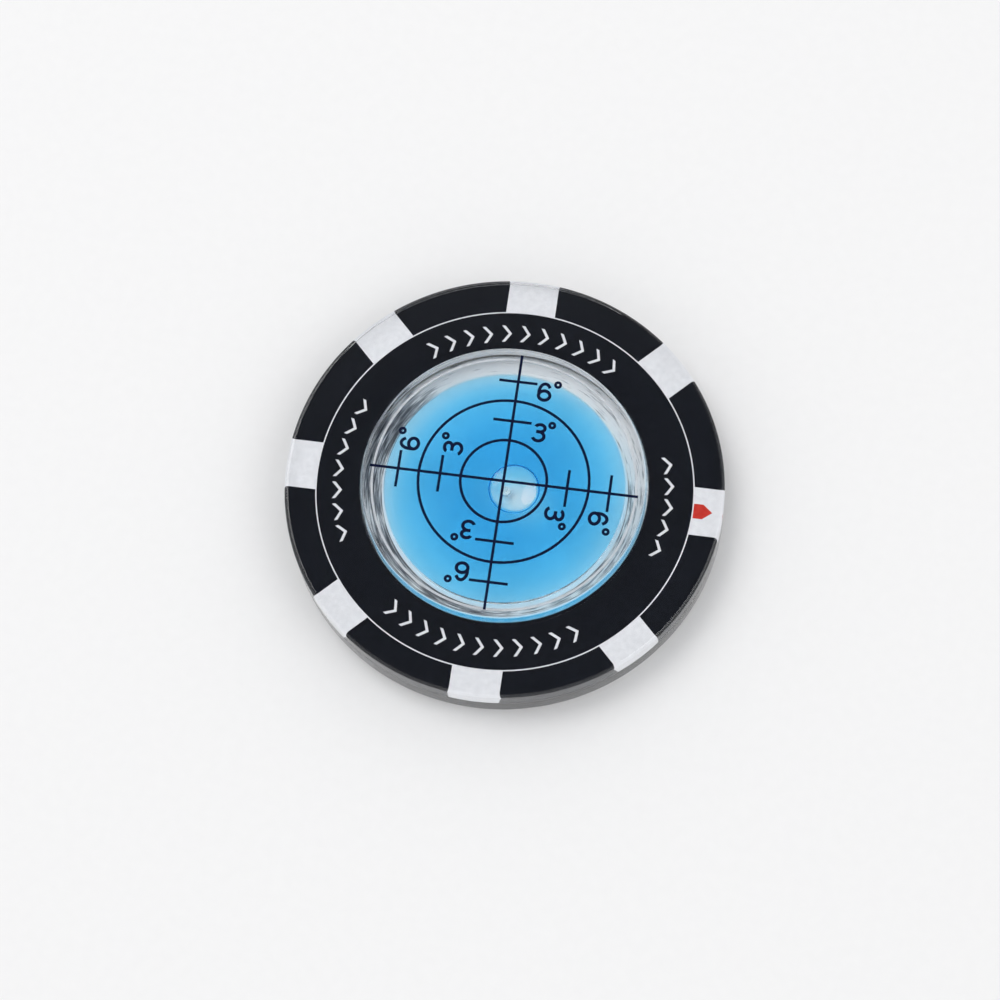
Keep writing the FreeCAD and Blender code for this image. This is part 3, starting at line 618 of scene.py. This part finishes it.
def makeVialCup():
    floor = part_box("fill_plug")[1].z
    wall = liquidRadius + vialCup["wallGap"]
    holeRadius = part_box("fill_plug")[1].x + vialCup["plugGap"]
    bottom = backingTop + skin
    outline = [(holeRadius, bottom, bondedFace), (vialRadius, bottom, bondedFace),
               (vialRadius, glueTop, openFace), (vialRadius, lidSeat - skin, bondedFace),
               (wall, lidSeat - skin, bondedFace), (wall, floor, bondedFace), (holeRadius, floor, bondedFace)]
    piece = lathe("vialCup", outline, clearSlots)
    settle(piece, "marker", "clear_acrylic", "vial_cup")


vialLid = {"rounding": 0.30 * mm, "roundSteps": 10, "domeSteps": 14, "crown": 1.5 * mm,
           "spigotInset": 0.02 * mm}


def makeVialLid():
    rounding = vialLid["rounding"]
    spigot = liquidRadius - vialLid["spigotInset"]
    domeRadius = lidTop - domeCentre.z - vialLid["crown"]
    reach = math.degrees(math.acos(spigot / domeRadius))
    dome = arc((0, domeCentre.z), domeRadius, 90, reach, vialLid["domeSteps"], bondedFace)
    outline = [(0, dome[0][1], bondedFace)] + dome[1:]
    outline += [(spigot, lidSeat + skin, bondedFace), (vialRadius, lidSeat + skin, openFace)]
    outline += arc((vialRadius - rounding, lidTop - rounding), rounding, 0, 90,
                   vialLid["roundSteps"], openFace)
    outline += [(0, lidTop, openFace)]
    piece = lathe("vialLid", outline, clearSlots)
    settle(piece, "marker", "clear_acrylic", "vial_lid")


def makeVialBondRing():
    low = pocketFloor + skin
    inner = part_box("vial_backing")[1].x + skin
    paintedLightAdhesiveFace = 2
    outline = [(inner, low, paintedLightAdhesiveFace), (boreRadius - skin, low, bondedFace),
               (boreRadius - skin, glueTop, openFace), (vialRadius + skin, glueTop, bondedFace),
               (vialRadius + skin, backingTop - skin, bondedFace), (inner, backingTop - skin, bondedFace)]
    piece = lathe("vialBondRing", outline, [polished, wetted, smearedWithPaintedLight])
    settle(piece, "marker", "clear_adhesive", "vial_bond_ring")


fillPlug = {"grooveOuter": 0.34 * mm, "grooveInner": 0.17 * mm, "grooveLean": 0.04 * mm,
            "grooveDepth": 0.08 * mm, "segments": 64}


def makeFillPlug():
    low, high = (corner.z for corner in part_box("fill_plug"))
    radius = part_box("fill_plug")[1].x
    outer, inner, lean = fillPlug["grooveOuter"], fillPlug["grooveInner"], fillPlug["grooveLean"]
    bottom = high - fillPlug["grooveDepth"]
    outline = [(0, low + skin, 0), (radius, low + skin, 0), (radius, high, 0), (outer, high, 0),
               (outer - lean, bottom, 0), (inner + lean, bottom, 0), (inner, high, 0), (0, high, 0)]
    piece = lathe("fillPlug", outline, [plugPlastic], segments=fillPlug["segments"])
    settle(piece, "marker", "clear_acrylic", "fill_plug")


weldBead = {"width": 0.20 * mm}


def makeWeldBead():
    low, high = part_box("weld_bead")
    outer = high.x
    inner = outer - weldBead["width"]
    outline = [(inner, low.z, 0), (outer, low.z, 0), (outer, high.z, 0), (inner, high.z, 0)]
    piece = lathe("weldBead", outline, [milkyWithPaintedHighlight])
    settle(piece, "marker", "clear_acrylic", "weld_bead")


levelLiquid = {"domeSteps": 14}


def makeLevelLiquid():
    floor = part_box("level_liquid")[0].z
    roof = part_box("level_liquid")[1].z - domeCentre.z
    reach = math.degrees(math.acos(liquidRadius / roof))
    dome = arc((0, domeCentre.z), roof, reach, 90, levelLiquid["domeSteps"], 0)
    outline = [(0, floor, 0), (liquidRadius, floor, 0)] + dome[:-1] + [(0, dome[-1][1], 0)]
    piece = lathe("levelLiquid", outline, [blueLiquid])
    settle(piece, "liquid", "blue_liquid", "level_liquid")


bubble = {"depth": 0.80 * mm, "shoulder": 0.40 * mm, "steps": 36, "underRoof": 0.02 * mm,
          "segments": 128, "sharpest": 60}


def makeAirBubble():
    low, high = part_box("air_bubble")
    middle = (low + high) / 2
    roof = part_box("level_liquid")[1].z - domeCentre.z - bubble["underRoof"]
    radius = (high.x - low.x) / 2
    centre = roof - bubble["shoulder"]
    outline = []
    for step in range(bubble["steps"] + 1):  # half an ellipse from the bottom up, cut off by the roof
        angle = math.radians(-90 + 180 * step / bubble["steps"])
        across = radius * math.cos(angle)
        height = centre + bubble["depth"] * math.sin(angle)
        top = math.sqrt(roof ** 2 - across ** 2)
        outline.append((max(across, 0), min(height, top), 0))
    outline[0] = (0, outline[0][1], 0)
    outline[-1] = (0, roof, 0)
    piece = lathe("airBubble", outline, [bubbleAir], segments=bubble["segments"], sharpest=bubble["sharpest"])
    lean = math.asin(math.hypot(middle.x, middle.y) / centre)
    bearing = math.atan2(middle.y, middle.x)
    turn = Matrix.Rotation(lean, 4, Vector((-math.sin(bearing), math.cos(bearing), 0)))
    piece.data.transform(Matrix.Translation(domeCentre) @ turn)
    settle(piece, "bubble", "bubble_air", "air_bubble")


makeBaseDisc()
makeTopCover()
makeBondFilm("lowerBondFilm", "lower_bond_film")
makeBondFilm("upperBondFilm", "upper_bond_film")
print("chip layers made")
makeVialCup()
makeVialLid()
makeVialBondRing()
makeFillPlug()
makeWeldBead()
makeLevelLiquid()
makeAirBubble()
print("vial made")

# the rows of chevrons in the black band

chevrons = {"height": 1.60 * mm, "advance": 0.62 * mm, "stroke": 0.24 * mm, "ringLine": 0.11 * mm,
            "breakCount": 11, "downhillCount": 7, "uphillCount": 5, "breakStep": 6.6, "slopeStep": 7.8}
chevronRows = [  # name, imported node, bearing, count, step, turn of each chevron about its own middle
    ("breakRightMarks", "break_right_marks", 90, "breakCount", "breakStep", 0),
    ("downhillMarks", "downhill_marks", 180, "downhillCount", "slopeStep", -90),
    ("breakLeftMarks", "break_left_marks", 270, "breakCount", "breakStep", 180),
    ("uphillMarks", "uphill_marks", 0, "uphillCount", "slopeStep", 90),
]


def makeChevron(name, node, turn):  # one chevron on the +X side of the band, as a thin closed solid
    tip, halfHeight = chevrons["advance"] / 2, chevrons["height"] / 2
    slope = math.hypot(chevrons["advance"], halfHeight) / halfHeight
    back, tail = tip - chevrons["stroke"] * slope, tip - chevrons["advance"]
    behind = back - chevrons["advance"]
    corners = [(tip, 0), (tail, halfHeight), (behind, halfHeight), (back, 0), (behind, -halfHeight),
               (tail, -halfHeight)]
    angle = math.radians(turn)
    middle = (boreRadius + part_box("ring_line")[1].x - chevrons["ringLine"]) / 2
    flat = []
    for across, along in corners:
        flat.append((middle + along * math.cos(angle) + across * math.sin(angle),
                     along * math.sin(angle) - across * math.cos(angle)))
    low, high = (corner.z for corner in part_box(node))
    points = [(x, y, low) for x, y in flat] + [(x, y, high) for x, y in flat]
    count = len(flat)
    faces = []
    for arm in ([0, 1, 2, 3], [5, 0, 3, 4]):  # top and underside of the two arms
        faces += [[corner + count for corner in arm], arm[::-1]]
    for corner in range(count):
        after = (corner + 1) % count
        faces.append([corner, after, after + count, corner + count])
    piece = meshObject(name, points, faces, [0] * len(faces), [whitePrint])
    solid = bmesh.new()
    solid.from_mesh(piece.data)
    bmesh.ops.recalc_face_normals(solid, faces=solid.faces)
    solid.to_mesh(piece.data)
    solid.free()
    piece.data.polygons.foreach_set("use_smooth", [False] * len(faces))
    return piece


def makeChevronRows():
    rowTree = makeRowTree()
    for name, node, bearing, count, step, turn in chevronRows:
        piece = makeChevron(name, node, turn)
        grow(piece, rowTree, {"Count": chevrons[count], "Step": math.radians(chevrons[step]),
                              "Bearing": math.radians(bearing), "Ink": whitePrint})
        settle(piece, "marker", "white_print", node)


makeChevronRows()
print("chevrons made")


# air caught in the adhesive round the vial

gluedBubbles = {"density": 1.6e6, "smallest": 0.015 * mm, "largest": 0.055 * mm, "seed": 7,
                "bedSegments": 144, "facesEach": 80}


def makeGluedBubbles():
    middle = (vialRadius + boreRadius) / 2
    inset = gluedBubbles["largest"] + skin
    low, high = backingTop + inset, glueTop - inset
    count = gluedBubbles["bedSegments"]
    points = [(middle * math.cos(fullTurn * turn / count), middle * math.sin(fullTurn * turn / count), height)
              for height in (low, high) for turn in range(count)]
    faces = [(turn, (turn + 1) % count, (turn + 1) % count + count, turn + count) for turn in range(count)]
    piece = meshObject("gluedBubbles", points, faces, [0] * count, [trappedAir])
    grow(piece, makeSpeckTree(), {"Density": gluedBubbles["density"], "Smallest": gluedBubbles["smallest"],
                                  "Largest": gluedBubbles["largest"], "Seed": gluedBubbles["seed"],
                                  "Ink": trappedAir})
    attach(piece, "marker")
    print("bubbles in the adhesive:", len(piece.data.polygons) // gluedBubbles["facesEach"])


makeGluedBubbles()

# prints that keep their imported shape

printedNodes = {"label_film": blackPrint, "ring_line": whitePrint, "uphill_arrow": redPrint,
                "vial_backing": whiteBacking, "reticle_lines": navyPrint, "degree_figures": navyPrint}
for number in range(1, 9):
    printedNodes["edge_block_%d" % number] = whitePrint
for node, material in printedNodes.items():
    slots = frame["nodes"][node].data.materials
    slots.clear()
    slots.append(material)
print("prints coloured")

# floor, light and camera

stage = {"size": 1.6, "drop": 0.02 * mm}


def makeFloor():
    half = stage["size"] / 2
    corners = [(-half, -half, -stage["drop"]), (half, -half, -stage["drop"]),
               (half, half, -stage["drop"]), (-half, half, -stage["drop"])]
    floor = meshObject("floor", corners, [(0, 1, 2, 3)], [0], [makeFloorPaper()])


sky = {"level": 1.04, "horizon": (1.0, 1.0, 1.0), "zenith": (0.12, 0.12, 0.135), "fallsFrom": 0.60,
       "fallenAt": 0.93}


def makeSky():
    world = bpy.data.worlds.new("studio")
    bpy.context.scene.world = world
    world.use_nodes = True
    tree = world.node_tree
    tree.nodes.clear()
    output = addNode(tree, "ShaderNodeOutputWorld")
    background = addNode(tree, "ShaderNodeBackground", {"Strength": sky["level"]})
    place = addNode(tree, "ShaderNodeTexCoord")
    parts = addNode(tree, "ShaderNodeSeparateXYZ")
    join(tree, place.outputs["Generated"], parts.inputs["Vector"])
    shades = [(0.0, sky["horizon"]), (sky["fallsFrom"], sky["horizon"]), (sky["fallenAt"], sky["zenith"])]
    join(tree, ramp(tree, parts.outputs["Z"], shades), background.inputs["Color"])
    join(tree, background.outputs["Background"], output.inputs["Surface"])


lamps = [
    {"name": "keyPanel", "azimuth": -60, "elevation": 48, "distance": 1.5, "size": 1.2, "power": 9.8},
    {"name": "fillPanel", "azimuth": 100, "elevation": 40, "distance": 1.6, "size": 1.3, "power": 5.9},
]


def makeLamps():
    for values in lamps:
        turn, rise = math.radians(values["azimuth"]), math.radians(values["elevation"])
        away = Vector((math.sin(turn) * math.cos(rise), math.cos(turn) * math.cos(rise), math.sin(rise)))
        light = bpy.data.lights.new(values["name"], "AREA")
        light.shape = "DISK"
        light.size = values["size"]
        light.energy = values["power"]
        lamp = bpy.data.objects.new(values["name"], light)
        lamp.location = away * values["distance"]
        lamp.rotation_euler = (-away).to_track_quat("-Z", "Y").to_euler()
        bpy.context.scene.collection.objects.link(lamp)


camera = {"azimuth": 15.6, "elevation": 71.0, "roll": 7.9, "distance": 0.280, "lens": 110.6, "sensor": 36.0,
          "aside": -0.55 * mm, "ahead": -0.84 * mm, "nearest": 0.01}


def makeCamera():
    turn, rise, roll = (math.radians(camera[key]) for key in ("azimuth", "elevation", "roll"))
    ahead = Vector((-math.sin(turn), math.cos(turn), 0))
    right = Vector((math.cos(turn), math.sin(turn), 0))
    upward = ahead * math.sin(rise) + Vector((0, 0, math.cos(rise)))
    forward = ahead * math.cos(rise) - Vector((0, 0, math.sin(rise)))
    aim = right * camera["aside"] + ahead * camera["ahead"] + Vector((0, 0, labelTop))
    rolledRight = right * math.cos(roll) - upward * math.sin(roll)
    rolledUp = right * math.sin(roll) + upward * math.cos(roll)
    data = bpy.data.cameras.new("camera")
    data.lens = camera["lens"]
    data.sensor_width = camera["sensor"]
    data.clip_start = camera["nearest"]
    eye = bpy.data.objects.new("camera", data)
    pose = Matrix((rolledRight, rolledUp, -forward)).transposed().to_4x4()
    pose.translation = aim - forward * camera["distance"]
    eye.matrix_world = pose
    bpy.context.scene.collection.objects.link(eye)
    bpy.context.scene.camera = eye


makeFloor()
makeSky()
makeLamps()
makeCamera()
scene = bpy.context.scene
scene.view_settings.view_transform = "Standard"
bounces = {"all": 24, "clear": 24, "straight": 32}
scene.cycles.max_bounces = bounces["all"]
scene.cycles.transmission_bounces = bounces["clear"]
scene.cycles.transparent_max_bounces = bounces["straight"]
print("floor, lights and camera made")

bpy.context.view_layer.update()
